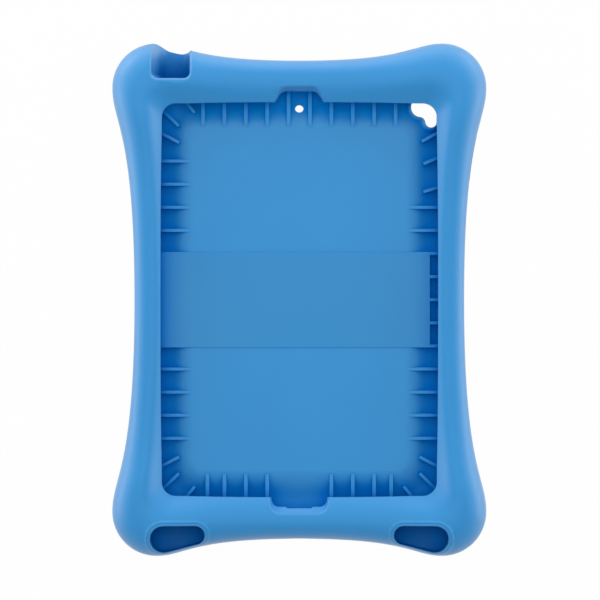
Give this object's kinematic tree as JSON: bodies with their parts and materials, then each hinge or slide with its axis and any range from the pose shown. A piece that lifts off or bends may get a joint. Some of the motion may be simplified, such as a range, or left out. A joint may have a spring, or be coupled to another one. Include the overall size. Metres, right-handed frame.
{
  "type": "tablet case",
  "caption": "One-piece moulded silicone bumper case for a tablet: pinched waists, swollen corners, ribbed tray and lip, cut-outs for camera, headphones, sound and charging.",
  "frame": {"origin": "on the table under the middle of the case, which lies on its back", "axes": "+X to the right seen from the front, +Y to the tablet's top edge, +Z out of the open front"},
  "size_m": [0.224, 0.3068, 0.0255],
  "materials": {
    "silicone": "satin matte"
  },
  "bodies": {
    "root": {"tablet_case": "silicone"}
  },
  "joints": []
}
